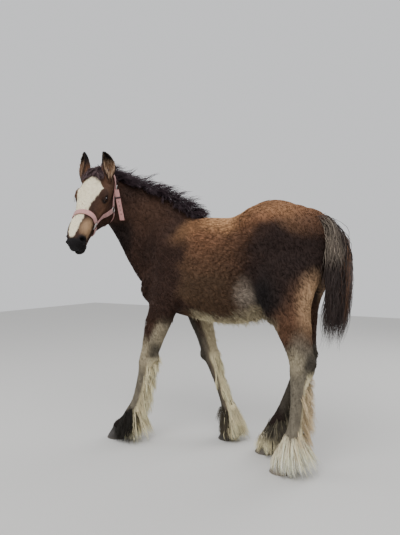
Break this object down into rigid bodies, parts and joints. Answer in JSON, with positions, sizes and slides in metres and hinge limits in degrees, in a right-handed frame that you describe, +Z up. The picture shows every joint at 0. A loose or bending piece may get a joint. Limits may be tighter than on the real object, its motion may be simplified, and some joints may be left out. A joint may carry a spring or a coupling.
{
  "type": "irish cob foal figure",
  "caption": "Life-size still model of a young bay cob foal with a white blaze and feathered legs, standing with its head turned to its left, in a pink webbing halter.",
  "frame": {"origin": "On the floor, under the middle of the whole box.", "axes": "+Z is up. The foal's body faces -X and its left side is -Y, towards which its head is turned."},
  "size_m": [1.1252, 0.6628, 1.286],
  "materials": {
    "bay_coat": "soft brown bay foal coat, standing in for short hair on skin",
    "dark_coat": "near-black brown hair of the neck, mane and ears",
    "face_coat": "short face hair with a broad cream blaze and a black muzzle",
    "feather_hair": "long cream and grey leg hair",
    "tail_hair": "long wavy dark tail hair",
    "hoof_horn": "dull grey-brown hoof horn",
    "eye": "dark moist eye",
    "halter_webbing": "dusty pink woven webbing",
    "halter_metal": "worn pale metal"
  },
  "bodies": {
    "root": {"ear_left": "dark_coat", "ear_right": "dark_coat", "eye_left": "eye", "eye_right": "eye", "halter_buckle": "halter_metal", "halter_cheek_strap_left": "halter_webbing", "halter_cheek_strap_right": "halter_webbing", "halter_chin_strap": "halter_webbing", "halter_crown_strap": "halter_webbing", "halter_jaw_ring_left": "halter_metal", "halter_jaw_ring_right": "halter_metal", "halter_nose_ring_left": "halter_metal", "halter_nose_ring_right": "halter_metal", "halter_noseband": "halter_webbing", "halter_strap_end": "halter_webbing", "halter_throat_strap_left": "halter_webbing", "halter_throat_strap_right": "halter_webbing", "head": "face_coat", "hoof_fore_left": "hoof_horn", "hoof_fore_right": "hoof_horn", "hoof_hind_left": "hoof_horn", "hoof_hind_right": "hoof_horn", "leg_fore_left_lower": "feather_hair", "leg_fore_left_upper": "bay_coat", "leg_fore_right_lower": "feather_hair", "leg_fore_right_upper": "bay_coat", "leg_hind_left_lower": "feather_hair", "leg_hind_left_upper": "bay_coat", "leg_hind_right_lower": "feather_hair", "leg_hind_right_upper": "bay_coat", "neck": "dark_coat", "tail": "tail_hair", "torso": "bay_coat"}
  },
  "joints": []
}
